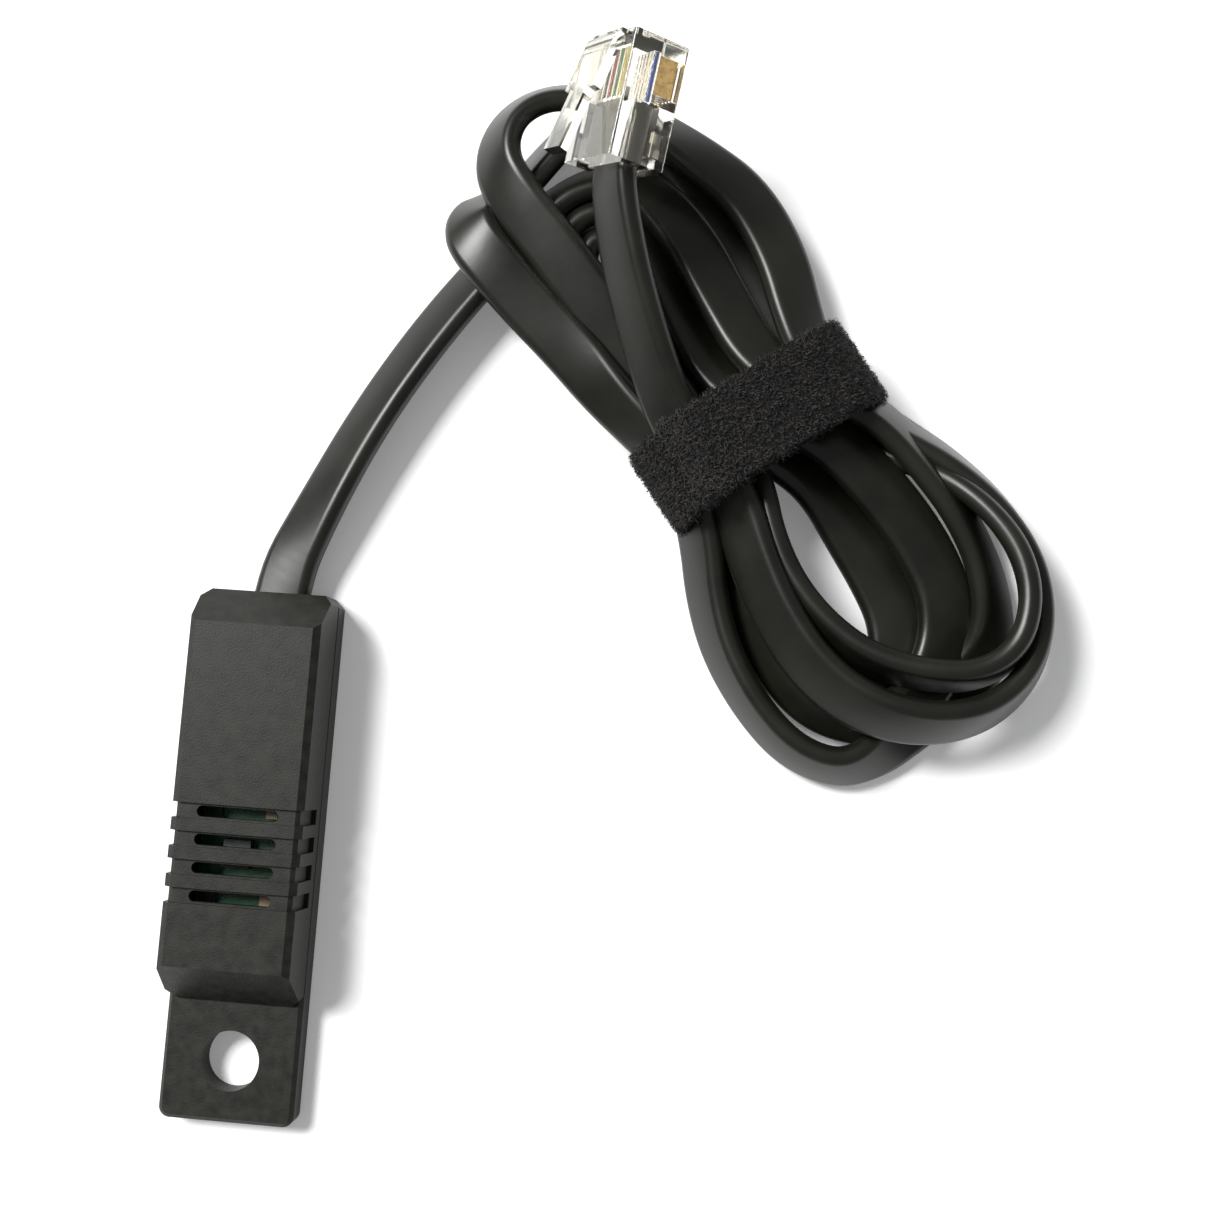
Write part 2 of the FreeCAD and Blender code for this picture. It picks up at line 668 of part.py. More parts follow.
def latch_hinge():
    """The middle of the latch's root, in the plug's own axes."""
    return Vector(0, PLUG_LENGTH - LATCH_HINGE_FROM_NOSE, PLUG_THICKNESS / 2 + LATCH_HINGE_RADIUS)


def plug_body():
    half_w = PLUG_WIDTH / 2
    half_t = PLUG_THICKNESS / 2
    body = box(-half_w, half_w, 0, PLUG_LENGTH, -half_t, half_t)
    body = body.makeFillet(PLUG_CORNER, [edge for edge in body.Edges
                                         if abs(edge.Vertexes[0].Y - edge.Vertexes[1].Y) > 1])
    cavity_half_w = CORD_WIDTH / 2 + CAVITY_GAP
    cavity_half_t = CORD_THICKNESS / 2 + CAVITY_GAP
    body = body.cut(box(-cavity_half_w, cavity_half_w, -OVERSHOOT, JACKET_IN_PLUG + CAVITY_GAP,
                        CORE_HEIGHT_IN_PLUG - cavity_half_t, CORE_HEIGHT_IN_PLUG + cavity_half_t))
    for index in range(len(WIRE_COLOURS)):
        channel = Part.makeCylinder(CORE_RADIUS + CORE_CHANNEL_GAP, core_end_y() - JACKET_IN_PLUG,
                                    Vector(contact_x(index), JACKET_IN_PLUG, CORE_HEIGHT_IN_PLUG),
                                    Vector(0, 1, 0))
        body = body.cut(channel)
        body = body.cut(contact_blade(index, CONTACT_SLOT_GAP, -half_t - OVERSHOOT,
                                      CORE_HEIGHT_IN_PLUG))
    body = body.cut(clamp_bar_box(CLAMP_BAR_GAP, -half_t - OVERSHOOT, CORE_HEIGHT_IN_PLUG))
    hinge = latch_hinge()
    rest = box(-LATCH_ROOT_WIDTH / 2, LATCH_ROOT_WIDTH / 2, hinge.y - LATCH_HINGE_RADIUS,
               PLUG_LENGTH, half_t - LATCH_REST_OVERLAP, hinge.z)
    clear = box(-half_w, half_w, hinge.y - 2 * LATCH_HINGE_RADIUS, hinge.y,
                half_t, hinge.z + OVERSHOOT)
    socket = Part.makeCylinder(LATCH_HINGE_RADIUS + LATCH_HINGE_GAP, LATCH_ROOT_WIDTH,
                               Vector(-LATCH_ROOT_WIDTH / 2, hinge.y, hinge.z), Vector(1, 0, 0))
    return body.fuse(rest.cut(clear)).cut(socket).removeSplitter()


def plug_latch():
    """The sprung lever: broad from its root to the shoulders, then a narrow finger tab."""
    hinge = latch_hinge()
    rear = hinge.y + LATCH_PAST_REAR
    shoulder = hinge.y - LATCH_SHOULDER_FROM_REAR
    low = LATCH_HINGE_RADIUS - LATCH_THICKNESS
    high = LATCH_HINGE_RADIUS
    half_root = LATCH_ROOT_WIDTH / 2 - LATCH_SIDE_GAP
    root = Part.makeCylinder(LATCH_HINGE_RADIUS, 2 * half_root, Vector(-half_root, 0, 0), Vector(1, 0, 0))
    broad = box(-half_root, half_root, -shoulder, 0, low, high)
    heel = box(-half_root, half_root, -LATCH_HINGE_RADIUS * 2, 0, low - OVERSHOOT, 0)
    broad = broad.cut(heel)
    narrow = box(-LATCH_TIP_WIDTH / 2, LATCH_TIP_WIDTH / 2, -rear / math.cos(math.radians(LATCH_ANGLE)),
                 -shoulder + LATCH_SIDE_GAP, low, high)
    lever = fused([root, broad, narrow])
    lever.rotate(Vector(0, 0, 0), Vector(1, 0, 0), -LATCH_ANGLE)
    lever.translate(hinge)
    return lever


def plug_core(index):
    core = Part.makeCylinder(CORE_RADIUS, core_end_y() - JACKET_IN_PLUG,
                             Vector(contact_x(index), JACKET_IN_PLUG, CORE_HEIGHT_IN_PLUG),
                             Vector(0, 1, 0))
    blade = contact_blade(index, 0, -PLUG_THICKNESS, CORE_HEIGHT_IN_PLUG)
    return core.cut(blade)


def plug_contacts():
    low = -PLUG_THICKNESS / 2 + CONTACT_RECESS
    blades = [contact_blade(index, 0, low, CORE_HEIGHT_IN_PLUG) for index in range(len(WIRE_COLOURS))]
    return Part.makeCompound(blades)


def plug_cord_clamp():
    return clamp_bar_box(0, -PLUG_THICKNESS / 2 + CONTACT_RECESS,
                         CORE_HEIGHT_IN_PLUG - CORD_THICKNESS / 2)


# ================================================================ cord
def cord_lead(hank):
    points = [(CORD_X, CORD_INNER_Y, CORD_Z), (CORD_X, CORD_END_Y + CORD_STRAIGHT_OUTSIDE, CORD_Z)]
    points += list(LEAD_POINTS)
    return flat_tube("cord_lead", points).cut(hank)


def cord_tail(hank, strap):
    """From under the strap up to the plug, where its broad side turns with the plug."""
    entry = plug_placement().multVec(Vector(0, -TAIL_TURN / 2, CORE_HEIGHT_IN_PLUG))
    points = list(TAIL_POINTS) + [(entry.x, entry.y, entry.z)]
    level = flat_tube("cord_tail", points).cut(hank).cut(strap)
    section = flat_section(CORD_WIDTH, CORD_THICKNESS, CORD_ROUNDING)
    section.translate(Vector(0, -TAIL_TURN, CORE_HEIGHT_IN_PLUG))
    turned = Part.Face(section).extrude(Vector(0, TAIL_TURN + JACKET_IN_PLUG, 0))
    return fused([level, placed(turned)])


os.makedirs("parts", exist_ok=True)
hank_shape = cord_hank()
strap_shape = cord_strap()
write("housing_base", housing_base())
write("housing_cover", housing_cover())
write("circuit_board", circuit_board())
write("humidity_sensor", humidity_sensor())
write("chip_body", chip_body())
write("chip_leads", chip_leads())
write("capacitors", small_parts(CAPACITOR_PLACES, CAPACITOR_HEIGHT))
write("resistors", small_parts(RESISTOR_PLACES, RESISTOR_HEIGHT))
write("solder_joints", solder_joints())
for number, colour in enumerate(WIRE_COLOURS):
    write("board_wire_" + colour, board_wire(number))
    write("plug_core_" + colour, placed(plug_core(number)))
write("cord_lead", cord_lead(hank_shape))
write("cord_hank", hank_shape)
write("cord_tail", cord_tail(hank_shape, strap_shape))
write("cord_strap", strap_shape)
write("plug_body", placed(plug_body()))
write("plug_latch", placed(plug_latch()))
write("plug_contacts", placed(plug_contacts()))
write("plug_cord_clamp", placed(plug_cord_clamp()))
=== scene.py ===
import bmesh
import bpy
import math
import random
from mathutils import Matrix, Vector, noise


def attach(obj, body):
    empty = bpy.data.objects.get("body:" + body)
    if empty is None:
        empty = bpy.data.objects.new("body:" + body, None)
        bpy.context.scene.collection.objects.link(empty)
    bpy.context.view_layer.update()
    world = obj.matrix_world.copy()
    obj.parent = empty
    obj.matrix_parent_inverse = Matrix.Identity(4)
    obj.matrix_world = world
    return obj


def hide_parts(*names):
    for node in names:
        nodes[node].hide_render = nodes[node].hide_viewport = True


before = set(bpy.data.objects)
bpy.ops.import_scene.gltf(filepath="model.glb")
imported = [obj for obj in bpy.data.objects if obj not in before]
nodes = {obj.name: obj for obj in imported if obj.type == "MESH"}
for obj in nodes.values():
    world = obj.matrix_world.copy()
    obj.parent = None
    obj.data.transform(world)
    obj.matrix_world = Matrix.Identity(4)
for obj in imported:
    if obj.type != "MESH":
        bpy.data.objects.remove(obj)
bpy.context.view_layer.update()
MM = 0.001

# ---------------------------------------------------------------- sizes, the same as in the CAD
CORD_WIDTH = 6.4
CORD_THICKNESS = 2.4
CORD_ROUNDING = 1.1
WAIST_CENTRE = (52.8, 50.3)
STRAP_ANGLE = 36.8
PLUG_REAR = (35.6, 74.6, 16.7)
PLUG_YAW = 9.0
PLUG_PITCH = 8.0
PLUG_ROLL = 36.0
TAIL_TURN = 3.2
JACKET_IN_PLUG = 6.2
FLOOR_GAP = 0.05
CORE_HEIGHT_IN_PLUG = -0.35
STRAP_WIDTH = 10.0

# ---------------------------------------------------------------- sizes of the modelled pieces
CORD_STEPS = 8
CORD_CORNER_STEPS = 4
STRAP_STEPS = 24
STRAP_THICKNESS = 1.2
STRAP_RIM = 0.7
STRAP_RIM_THINNING = 0.8
STRAP_COLUMNS = 30
STRAP_NAP = 0.16
STRAP_NAP_GRAIN = 2.6
STRAP_NAP_OTHER_SIDE = 9
STRAP_WANDER = 0.16
STRAP_WANDER_ALONG = 0.09
STRAP_WANDER_ACROSS = 0.4
STRAP_SEED = 7
FIBRE_COUNT = 9000
FIBRE_WIDTH = 0.05
FIBRE_LENGTH = 0.8
FIBRE_SHAPE = ((0.0, -0.1), (0.3, 0.42), (0.7, 0.5), (1.0, 0.12))
FIBRE_SHORTEST = 0.35
FIBRE_SCATTER = 9
FIBRE_LOWEST_FACING = -0.2

# ---------------------------------------------------------------- light, floor and finish
FLOOR_LIFT = 0.16
FLOOR_HALF = 2
FLOOR_Z = -0.0002
WORLD_LIGHT = 0.27
GRAIN_DETAIL = 7
GRAIN_DARK_TO = 0.35
GRAIN_LIGHT_FROM = 0.68
BUMP_DETAIL = 3
WIRE_SHADE = 0.75
WIRE_COLOURS = {"white": (0.62, 0.60, 0.56), "black": (0.012, 0.012, 0.012), "red": (0.42, 0.02, 0.02),
                "green": (0.03, 0.22, 0.05), "yellow": (0.60, 0.48, 0.04), "blue": (0.03, 0.07, 0.36)}

# The lead: x, y, z and the lean of the cord's broad side, outwards from flat.
LEAD = (
    (0.4, 20.5, 2.45, 0), (0.4, 29.9, 2.45, 4), (4.0, 38.6, 2.9, 30), (9.2, 49.6, 3.2, 36),
    (15.6, 60.2, 3.2, 36), (22.4, 69.2, 3.2, 38),
)
# The hank: along it, across it, height and lean, round each lap in turn.
FIRST_LAP = (
    (-34.2, -8.2, 3.3, 52), (-35.2, -3.0, 3.4, 58), (-34.0, 1.8, 3.4, 50), (-30.0, 4.8, 4.0, 30),
    (-22.6, 5.6, 4.9, 20), (-14.5, 4.7, 5.6, 22), (-7.0, 4.0, 6.8, 28), (-2.0, 5.6, 7.4, 45),
    (3.0, 10.0, 7.2, 55), (7.5, 12.0, 6.6, 55), (13.5, 12.9, 5.8, 58), (19.5, 13.3, 4.8, 60),
    (25.5, 12.6, 3.9, 58), (30.8, 10.6, 3.0, 48), (34.2, 7.2, 2.2, 26), (35.4, 2.6, 1.6, 10),
    (35.6, -3.0, 1.7, 12), (36.6, -8.6, 2.8, 50), (35.6, -13.0, 3.3, 64), (31.0, -16.2, 3.4, 66),
    (24.8, -17.1, 3.5, 66), (18.0, -16.6, 3.6, 62), (12.0, -14.6, 3.9, 58), (6.5, -11.7, 4.9, 55),
    (0.0, -9.6, 5.8, 62),
)
SECOND_LAP = (
    (-6.5, -10.6, 6.4, 50), (-12.0, -11.7, 6.4, 38), (-19.0, -12.4, 6.6, 12), (-26.0, -13.8, 7.2, 4),
    (-31.6, -14.6, 8.0, 4), (-35.2, -14.8, 7.8, 12), (-37.6, -13.8, 6.6, 36), (-38.0, -11.0, 4.8, 50),
    (-38.2, -7.4, 3.6, 54), (-39.6, -3.0, 3.4, 56), (-40.8, 1.6, 3.3, 56), (-39.4, 6.4, 3.0, 44),
    (-35.0, 9.6, 2.2, 20), (-29.5, 10.6, 1.7, 6), (-23.0, 10.2, 1.5, 2), (-14.5, 9.2, 1.6, 0),
    (-6.5, 8.2, 2.7, 0), (0.0, 8.2, 3.1, 0), (5.5, 9.8, 3.1, 15), (10.5, 12.4, 3.6, 45),
    (15.5, 14.8, 4.6, 65), (21.0, 15.9, 6.2, 75), (26.5, 15.8, 7.4, 78), (31.4, 13.8, 7.9, 78),
    (35.0, 9.8, 7.9, 78), (35.2, 4.6, 7.9, 78), (31.6, -0.6, 7.8, 76), (27.0, -4.4, 7.3, 74),
    (21.6, -6.3, 6.8, 72), (16.0, -6.8, 6.5, 70), (10.4, -5.8, 6.3, 70), (5.6, -3.8, 6.0, 70),
    (0.0, -3.0, 4.8, 62),
)
THIRD_LAP = (
    (-6.0, -4.4, 3.9, 66), (-12.0, -5.8, 3.4, 72), (-18.0, -6.8, 3.4, 72), (-23.5, -7.2, 3.4, 68),
    (-27.6, -6.2, 3.4, 62), (-29.4, -3.4, 3.4, 60), (-27.4, -0.8, 3.4, 58), (-22.5, -1.2, 3.5, 48),
    (-17.5, -2.6, 3.8, 40), (-12.5, -3.8, 4.2, 36), (-7.0, -4.8, 5.0, 36), (-1.0, -2.6, 6.2, 38),
    (4.0, 0.8, 5.2, 32), (9.0, 2.8, 3.4, 18), (15.0, 2.7, 2.0, 10), (20.5, 2.5, 1.5, 6),
    (25.5, 1.7, 1.4, 4), (29.6, -0.9, 1.4, 4), (30.8, -4.6, 1.4, 4), (28.4, -7.7, 1.4, 4),
    (24.0, -8.2, 1.4, 4), (18.0, -7.9, 1.4, 4), (11.5, -7.6, 1.6, 4), (6.0, -7.2, 2.4, 4),
    (0.0, -7.2, 3.1, 0),
)
FOURTH_LAP = (
    (-6.0, -7.6, 2.6, 10), (-12.5, -9.0, 2.6, 45), (-19.0, -9.9, 3.3, 70), (-25.5, -9.8, 3.4, 70),
    (-30.6, -7.6, 3.4, 62), (-32.4, -3.2, 3.4, 60), (-30.8, 0.8, 3.4, 56), (-26.2, 2.0, 3.5, 46),
    (-20.5, 1.1, 3.9, 38), (-14.0, 0.0, 4.5, 33), (-7.0, -0.5, 5.8, 32), (-1.0, 2.0, 7.0, 38),
    (4.0, 5.2, 7.4, 26), (9.0, 6.9, 6.2, 18), (15.0, 7.9, 5.0, 13), (21.0, 8.1, 4.2, 13),
    (26.5, 7.1, 3.9, 14), (31.0, 3.9, 3.4, 20), (34.0, -1.4, 3.6, 28), (34.0, -6.0, 4.4, 34),
    (30.0, -10.4, 4.0, 36), (25.2, -12.0, 3.7, 36), (19.4, -11.8, 3.6, 36), (13.0, -10.6, 3.7, 36),
    (6.5, -8.2, 4.3, 32), (0.0, -6.0, 5.4, 20),
)
LAST_LAP = (
    (-7.0, -6.2, 5.9, 15), (-14.0, -6.9, 6.5, 12), (-22.0, -7.6, 7.6, 12), (-30.0, -8.2, 8.6, 14),
    (-36.0, -8.8, 9.0, 26), (-40.6, -8.2, 8.4, 42), (-43.8, -5.2, 7.7, 55), (-44.6, -1.4, 7.3, 60),
    (-43.4, 2.4, 7.0, 60), (-40.0, 6.0, 6.6, 55), (-35.4, 8.8, 6.0, 45), (-29.6, 11.3, 5.4, 30),
    (-23.0, 13.5, 5.2, 24), (-15.0, 12.9, 5.2, 24), (-8.0, 10.4, 5.8, 32), (-2.0, 9.0, 5.6, 45),
    (4.0, 10.6, 4.8, 50), (8.5, 13.0, 4.6, 60), (14.5, 15.8, 4.4, 68), (21.5, 17.5, 4.4, 74),
    (28.5, 17.1, 4.6, 78), (34.2, 14.3, 5.0, 78), (37.8, 9.9, 5.8, 76), (39.0, 4.4, 6.8, 70),
    (37.6, -0.8, 7.8, 60), (34.2, -5.4, 8.3, 50), (29.4, -8.5, 8.2, 45), (24.0, -9.8, 8.0, 44),
    (18.0, -9.7, 7.8, 44), (12.0, -8.6, 7.7, 44), (6.0, -6.9, 7.9, 43), (0.5, -6.8, 8.5, 38),
    (-4.8, -7.7, 9.6, 42), (-11.7, -6.3, 11.8, 48), (-20.4, -3.7, 14.5, 50),
)


def waist_axes():
    """The middle of the strap, and the directions across and along the hank."""
    angle = math.radians(STRAP_ANGLE)
    across = Vector((math.cos(angle), math.sin(angle), 0))
    along = Vector((math.sin(angle), -math.cos(angle), 0))
    return Vector((WAIST_CENTRE[0], WAIST_CENTRE[1], 0)), across, along


def plug_matrix():
    """The plug's own axes: X its width, Y towards its nose, Z its latch side."""
    yaw, pitch, roll = (math.radians(turn) for turn in (PLUG_YAW, PLUG_PITCH, PLUG_ROLL))
    nose = Vector((math.sin(yaw) * math.cos(pitch), math.cos(yaw) * math.cos(pitch), math.sin(pitch)))
    level = nose.cross(Vector((0, 0, 1))).normalized()
    upright = level.cross(nose)
    width = level * math.sin(roll) + upright * math.cos(roll)
    latch_side = width.cross(nose)
    turned = Matrix((width, nose, latch_side)).transposed().to_4x4()
    return Matrix.Translation(Vector(PLUG_REAR)) @ turned


def resting_height(lean):
    """How high the cord's middle is when its lowest edge is on the floor, for one lean."""
    flat_half = (CORD_WIDTH / 2 - CORD_ROUNDING) * abs(math.sin(math.radians(lean)))
    thin_half = (CORD_THICKNESS / 2 - CORD_ROUNDING) * abs(math.cos(math.radians(lean)))
    return flat_half + thin_half + CORD_ROUNDING + FLOOR_GAP


def cord_route():
    """Every control point of the cord in millimetres, and its lean in degrees."""
    centre, across, along = waist_axes()
    points = [Vector(row[:3]) for row in LEAD]
    leans = [row[3] for row in LEAD]
    for lap in (FIRST_LAP, SECOND_LAP, THIRD_LAP, FOURTH_LAP, LAST_LAP):
        for s, t, z, lean in lap:
            points.append(centre + along * s + across * t + Vector((0, 0, max(z, resting_height(lean)))))
            leans.append(lean)
    into_plug = plug_matrix()
    for y in (-TAIL_TURN / 2, TAIL_TURN / 2, JACKET_IN_PLUG):
        points.append(into_plug @ Vector((0, y, CORE_HEIGHT_IN_PLUG)))
        leans.append(90 - PLUG_ROLL)
    return points, leans


def smooth_line(name, points, steps):
    """The points along one smooth NURBS spline that has these control points."""
    curve = bpy.data.curves.new(name, "CURVE")
    curve.dimensions = "3D"
    spline = curve.splines.new("NURBS")
    spline.points.add(len(points) - 1)
    for target, point in zip(spline.points, points):
        target.co = (point[0], point[1], point[2], 1)
    spline.order_u = 3
    spline.use_endpoint_u = True
    spline.resolution_u = steps
    holder = bpy.data.objects.new(name, curve)
    line = bpy.data.meshes.new_from_object(holder)
    found = [vertex.co.copy() for vertex in line.vertices]
    bpy.data.objects.remove(holder)
    bpy.data.curves.remove(curve)
    bpy.data.meshes.remove(line)
    return found


def rounded_section(width, thickness, rounding, steps):
    """The outline of a flat cord as (across, up) pairs, anticlockwise."""
    outline = []
    for quarter, (sx, sy) in enumerate(((1, 1), (-1, 1), (-1, -1), (1, -1))):
        for step in range(steps + 1):
            angle = math.pi / 2 * (quarter + step / steps)
            outline.append((sx * (width / 2 - rounding) + rounding * math.cos(angle),
                            sy * (thickness / 2 - rounding) + rounding * math.sin(angle)))
    return outline


def made_object(name, mesh):
    """An object from mesh code, put in the scene."""
    data = bpy.data.meshes.new(name)
    mesh.to_mesh(data)
    mesh.free()
    piece = bpy.data.objects.new(name, data)
    bpy.context.scene.collection.objects.link(piece)
    return piece


def smooth_shaded(mesh):
    for face in mesh.faces:
        face.smooth = True
    return mesh


def swept_mesh(name, path, normals, outline):
    """A closed tube of one outline along a path, its top turned to the normals."""
    mesh = bmesh.new()
    rings = []
    for index, point in enumerate(path):
        before = path[max(index - 1, 0)]
        after = path[min(index + 1, len(path) - 1)]
        ahead = (after - before).normalized()
        up = (normals[index] - ahead * normals[index].dot(ahead)).normalized()
        side = ahead.cross(up)
        rings.append([mesh.verts.new(point + side * u + up * v) for u, v in outline])
    count = len(outline)
    for one, two in zip(rings, rings[1:]):
        for k in range(count):
            mesh.faces.new((one[k], one[(k + 1) % count], two[(k + 1) % count], two[k]))
    mesh.faces.new(rings[0])
    mesh.faces.new(list(reversed(rings[-1])))
    bmesh.ops.recalc_face_normals(mesh, faces=mesh.faces)
    for face in mesh.faces:
        face.smooth = len(face.verts) == 4
    return made_object(name, mesh)


def surface(name, dark, light, grain, roughness, spread, bump=0.0, depth=0.0, **settings):
    """A material whose colour, roughness and height follow noise with this many grains a metre."""
    material = bpy.data.materials.new(name)
    material.use_nodes = True
    tree = material.node_tree
    shader = tree.nodes["Principled BSDF"]
    place = tree.nodes.new("ShaderNodeTexCoord")
    grains = tree.nodes.new("ShaderNodeTexNoise")
    grains.inputs["Scale"].default_value = grain
    grains.inputs["Detail"].default_value = GRAIN_DETAIL
    tree.links.new(place.outputs["Object"], grains.inputs["Vector"])
    ramp = tree.nodes.new("ShaderNodeValToRGB")
    ramp.color_ramp.elements[0].position = GRAIN_DARK_TO
    ramp.color_ramp.elements[1].position = GRAIN_LIGHT_FROM
    ramp.color_ramp.elements[0].color = (*dark, 1)
    ramp.color_ramp.elements[1].color = (*light, 1)
    tree.links.new(grains.outputs["Fac"], ramp.inputs["Fac"])
    tree.links.new(ramp.outputs["Color"], shader.inputs["Base Color"])
    gloss = tree.nodes.new("ShaderNodeMapRange")
    gloss.inputs["To Min"].default_value = roughness - spread
    gloss.inputs["To Max"].default_value = roughness + spread
    tree.links.new(grains.outputs["Fac"], gloss.inputs["Value"])
    tree.links.new(gloss.outputs["Result"], shader.inputs["Roughness"])
    if bump:
        fine = tree.nodes.new("ShaderNodeTexNoise")
        fine.inputs["Scale"].default_value = bump
        fine.inputs["Detail"].default_value = BUMP_DETAIL
        tree.links.new(place.outputs["Object"], fine.inputs["Vector"])
        relief = tree.nodes.new("ShaderNodeBump")
        relief.inputs["Strength"].default_value = 1
        relief.inputs["Distance"].default_value = depth * MM
        tree.links.new(fine.outputs["Fac"], relief.inputs["Height"])
        tree.links.new(relief.outputs["Normal"], shader.inputs["Normal"])
    for socket, value in settings.items():
        shader.inputs[socket.replace("_", " ")].default_value = value
    return material


def build_cord():
    """The flat cord as one tube along its route, with the points that it follows and their length."""
    points, leans = cord_route()
    path = [point * MM for point in smooth_line("cord_line", points, CORD_STEPS)]
    lean_line = smooth_line("lean_line", [(lean, 0, 0) for lean in leans], CORD_STEPS)
    normals = []
    for index, lean in enumerate(lean_line):
        ahead = (path[min(index + 1, len(path) - 1)] - path[max(index - 1, 0)]).normalized()
        outward = Vector((0, 0, 1)).cross(ahead).normalized()
        up = ahead.cross(outward)
        angle = math.radians(lean.x)
        normals.append(up * math.cos(angle) + outward * math.sin(angle))
    outline = [(u * MM, v * MM) for u, v in
               rounded_section(CORD_WIDTH, CORD_THICKNESS, CORD_ROUNDING, CORD_CORNER_STEPS)]
    cord = swept_mesh("flat_cord", path, normals, outline)
    length = sum((b - a).length for a, b in zip(path, path[1:]))
    return cord, path, length


def strap_line():
    """The strip's own middle as (across, up) pairs, from its covered end round to its free end."""
    corners = ((-4.0, 11.3), (-8.8, 10.8), (-12.2, 9.3), (-13.2, 6.0), (-12.0, 2.2), (-8.4, 1.05),
               (0.0, 1.0), (8.4, 1.05), (11.9, 2.2), (12.6, 5.8), (12.3, 9.6), (9.4, 11.9),
               (4.0, 12.7), (-2.0, 13.1), (-7.0, 13.2), (-9.0, 13.3), (-9.9, 13.3))
    return smooth_line("strap_line", [(u, z, 0) for u, z in corners], STRAP_STEPS)


def build_strap():
    """The hook-and-loop strip as one mesh, and the places and directions its fibres start from."""
    centre, across, along = waist_axes()
    line = strap_line()
    mesh = bmesh.new()
    sheets = ([], [])
    for index, here in enumerate(line):
        ahead = (line[min(index + 1, len(line) - 1)] - line[max(index - 1, 0)]).normalized()
        out = Vector((ahead.y, -ahead.x, 0))
        for column in range(STRAP_COLUMNS + 1):
            s = STRAP_WIDTH * (column / STRAP_COLUMNS - 0.5)
            rim = max(0.0, 1 - (STRAP_WIDTH / 2 - abs(s)) / STRAP_RIM)
            wander = noise.noise(Vector((index * STRAP_WANDER_ALONG, s * STRAP_WANDER_ACROSS, 0)))
            wander *= STRAP_WANDER
            for side, rows in zip((1, -1), sheets):
                half = STRAP_THICKNESS / 2 * math.sqrt(1 - STRAP_RIM_THINNING * rim * rim)
                grain = Vector((here.x, here.y, s)) * STRAP_NAP_GRAIN
                grain.z += side * STRAP_NAP_OTHER_SIDE
                rough = noise.noise(grain) * STRAP_NAP
                spot = here + out * side * (half + rough)
                point = centre + across * spot.x + along * (s + wander) + Vector((0, 0, spot.y))
                rows.append(mesh.verts.new(point * MM))
    width = STRAP_COLUMNS + 1
    outer, inner = sheets
    for row in range(len(line) - 1):
        for column in range(STRAP_COLUMNS):
            k = row * width + column
            mesh.faces.new((outer[k], outer[k + 1], outer[k + width + 1], outer[k + width]))
            mesh.faces.new((inner[k], inner[k + width], inner[k + width + 1], inner[k + 1]))
        for k in (row * width, row * width + STRAP_COLUMNS):
            mesh.faces.new((outer[k], outer[k + width], inner[k + width], inner[k]))
    last = (len(line) - 1) * width
    for column in range(STRAP_COLUMNS):
        for k in (column, last + column):
            mesh.faces.new((outer[k], inner[k], inner[k + 1], outer[k + 1]))
    bmesh.ops.recalc_face_normals(mesh, faces=mesh.faces)
    mesh.normal_update()
    roots = [(vertex.co.copy(), vertex.normal.copy()) for vertex in outer
             if vertex.normal.z > FIBRE_LOWEST_FACING]
    return made_object("strap_strip", smooth_shaded(mesh)), roots


def build_fibres(roots):
    """Loose loop fibres that stand a little off the strip, each a bent narrow ribbon."""
    chance = random.Random(STRAP_SEED)
    mesh = bmesh.new()
    for _ in range(FIBRE_COUNT):
        root, up = chance.choice(roots)
        drift = Vector((chance.uniform(-1, 1), chance.uniform(-1, 1), chance.uniform(-1, 1)))
        drift = (drift - up * drift.dot(up)).normalized()
        side = up.cross(drift) * (FIBRE_WIDTH * MM / 2)
        reach = chance.uniform(FIBRE_SHORTEST, 1.0) * FIBRE_LENGTH * MM
        start = root + side * chance.uniform(-FIBRE_SCATTER, FIBRE_SCATTER)
        spine = [start + drift * reach * forth + up * reach * rise for forth, rise in FIBRE_SHAPE]
        edges = [(mesh.verts.new(point - side), mesh.verts.new(point + side)) for point in spine]
        for one, two in zip(edges, edges[1:]):
            mesh.faces.new((one[0], one[1], two[1], two[0]))
    return made_object("strap_fibres", smooth_shaded(mesh))


cord, cord_path, cord_length = build_cord()
cord.data.materials.append(surface("cord_black", (0.007, 0.007, 0.005), (0.013, 0.013, 0.009),
                                   160, 0.34, 0.06, 900, 0.008, Specular_IOR_Level=0.42))
strap, fibre_roots = build_strap()
fibres = build_fibres(fibre_roots)
strap_cloth = surface("strap_black", (0.002, 0.002, 0.002), (0.011, 0.010, 0.009), 1900, 0.85, 0.1,
                      2600, 0.3, Specular_IOR_Level=0.2)
strap_fibre = surface("strap_fibre", (0.003, 0.003, 0.003), (0.026, 0.022, 0.019), 900, 0.6, 0.1)
strap.data.materials.append(strap_cloth)
fibres.data.materials.append(strap_fibre)

# ---------------------------------------------------------------- materials of the CAD pieces
def dress(material, *names):
    """Gives these CAD nodes one material."""
    for name in names:
        mesh = nodes[name].data
        mesh.materials.clear()
        mesh.materials.append(material)


dress(surface("case_plastic", (0.007, 0.008, 0.005), (0.019, 0.020, 0.014), 700, 0.5, 0.09, 5200, 0.022,
              Specular_IOR_Level=0.33),
      "housing_base", "housing_cover")
dress(surface("board_green", (0.003, 0.045, 0.015), (0.012, 0.12, 0.045), 900, 0.4, 0.08, 1500, 0.02),
      "circuit_board")
dress(surface("sensor_black", (0.02, 0.02, 0.022), (0.05, 0.05, 0.055), 1200, 0.5, 0.1, 3000, 0.01),
      "humidity_sensor", "chip_body", "resistors")
dress(surface("tinned_lead", (0.55, 0.55, 0.56), (0.75, 0.75, 0.76), 1500, 0.3, 0.1, 2500, 0.01,
              Metallic=1.0), "chip_leads", "solder_joints")
dress(surface("capacitor_tan", (0.25, 0.17, 0.10), (0.38, 0.27, 0.17), 1500, 0.45, 0.1, 2500, 0.01),
      "capacitors")
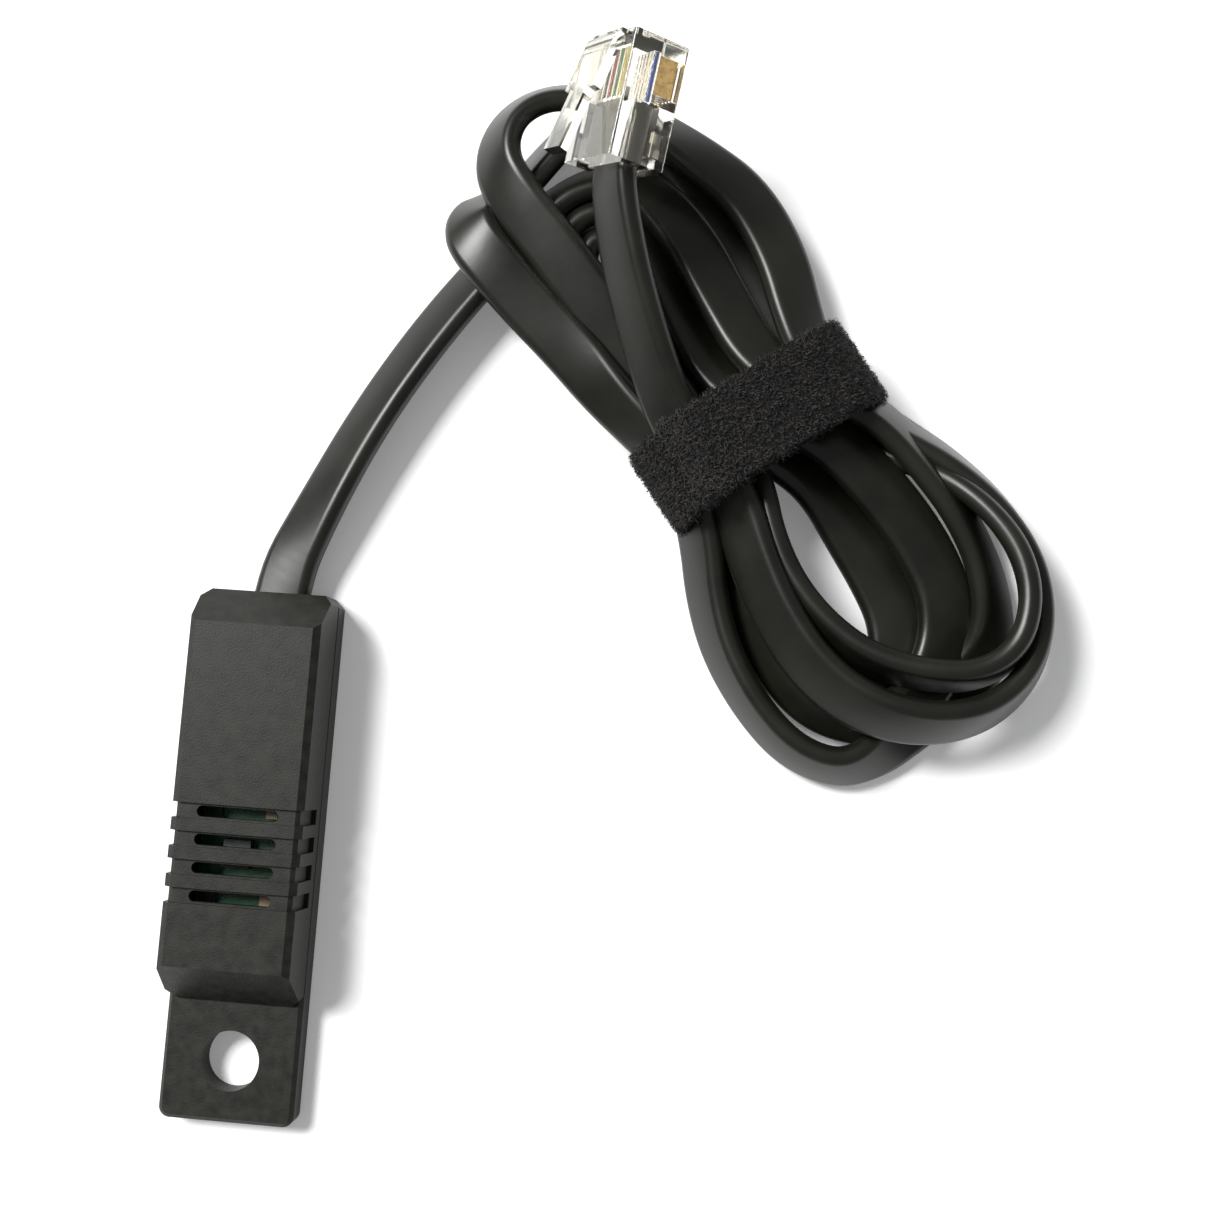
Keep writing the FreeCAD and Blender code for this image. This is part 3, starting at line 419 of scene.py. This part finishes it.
dress(surface("contact_gold", (0.42, 0.27, 0.10), (0.62, 0.43, 0.18), 1500, 0.28, 0.08, 2500, 0.01,
              Metallic=1.0), "plug_contacts")
for colour, tint in WIRE_COLOURS.items():
    deep = tuple(part * WIRE_SHADE for part in tint)
    dress(surface("wire_" + colour, deep, tint, 1200, 0.35, 0.08, 2200, 0.01),
          "board_wire_" + colour, "plug_core_" + colour)
clear = surface("plug_clear", (0.94, 0.91, 0.80), (0.99, 0.97, 0.90), 300, 0.06, 0.03, 500, 0.01,
                Transmission_Weight=1.0, IOR=1.5)
dress(clear, "plug_body", "plug_latch", "plug_cord_clamp")

# ---------------------------------------------------------------- floor, light and camera
floor_mesh = bpy.data.meshes.new("floor")
floor_corners = [(x * FLOOR_HALF, y * FLOOR_HALF, FLOOR_Z) for x, y in ((-1, -1), (1, -1), (1, 1), (-1, 1))]
floor_mesh.from_pydata(floor_corners, [], [(0, 1, 2, 3)])
floor = bpy.data.objects.new("floor", floor_mesh)
bpy.context.scene.collection.objects.link(floor)


def rays_that_show_it(tree, *kinds):
    """A socket that is 1 on any of these kinds of ray, and 0 on the rest."""
    path = tree.nodes.new("ShaderNodeLightPath")
    found = path.outputs[kinds[0]]
    for kind in kinds[1:]:
        either = tree.nodes.new("ShaderNodeMath")
        either.operation = "MAXIMUM"
        tree.links.new(found, either.inputs[0])
        tree.links.new(path.outputs[kind], either.inputs[1])
        found = either.outputs[0]
    return found


def between(tree, socket, low, high):
    """A socket that is low where the given one is 0, and high where it is 1."""
    ranged = tree.nodes.new("ShaderNodeMapRange")
    ranged.inputs["To Min"].default_value = low
    ranged.inputs["To Max"].default_value = high
    tree.links.new(socket, ranged.inputs["Value"])
    return ranged.outputs["Result"]


def floor_material():
    """White, with a little light of its own on the rays by which it is seen."""
    material = surface("floor_white", (0.95, 0.95, 0.945), (0.97, 0.97, 0.965), 40, 0.7, 0.05)
    tree = material.node_tree
    shader = tree.nodes["Principled BSDF"]
    seen = rays_that_show_it(tree, "Is Camera Ray", "Is Transmission Ray", "Is Glossy Ray")
    shader.inputs["Emission Color"].default_value = (1, 1, 1, 1)
    tree.links.new(between(tree, seen, 0, FLOOR_LIFT), shader.inputs["Emission Strength"])
    return material


floor.data.materials.append(floor_material())

world = bpy.data.worlds.new("studio")
bpy.context.scene.world = world
world.use_nodes = True
backdrop = world.node_tree.nodes["Background"]
backdrop.inputs["Color"].default_value = (0.97, 0.98, 1, 1)
backdrop_seen = rays_that_show_it(world.node_tree, "Is Camera Ray", "Is Transmission Ray")
world.node_tree.links.new(between(world.node_tree, backdrop_seen, WORLD_LIGHT, 1),
                          backdrop.inputs["Strength"])


def lamp(name, place, target, size, watts):
    """A square area lamp that faces a target."""
    data = bpy.data.lights.new(name, "AREA")
    data.size = size
    data.energy = watts
    holder = bpy.data.objects.new(name, data)
    holder.location = place
    holder.rotation_euler = (Vector(target) - Vector(place)).to_track_quat("-Z", "Y").to_euler()
    bpy.context.scene.collection.objects.link(holder)


lamp("window", (-0.62, 0.42, 0.95), (0.03, 0.03, 0), 0.42, 20)

camera_data = bpy.data.cameras.new("camera")
camera_data.sensor_width = 36
camera_data.lens = 42.72
camera_data.clip_start = 0.01
camera = bpy.data.objects.new("camera", camera_data)
camera.location = (0.04817, 0.01568, 0.16237)
camera.rotation_euler = (math.radians(5.248), math.radians(3.288), math.radians(4.215))
bpy.context.scene.collection.objects.link(camera)
bpy.context.scene.camera = camera
bpy.context.scene.view_settings.view_transform = "Standard"

# ---------------------------------------------------------------- what the pieces are
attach(cord, "probe")
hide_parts("cord_lead", "cord_hank", "cord_tail")
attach(strap, "probe")
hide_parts("cord_strap")
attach(fibres, "probe")
strap_path = strap_line()
plug_nodes = ["plug_body", "plug_latch", "plug_contacts", "plug_cord_clamp"]
plug_nodes += ["plug_core_" + colour for colour in WIRE_COLOURS]
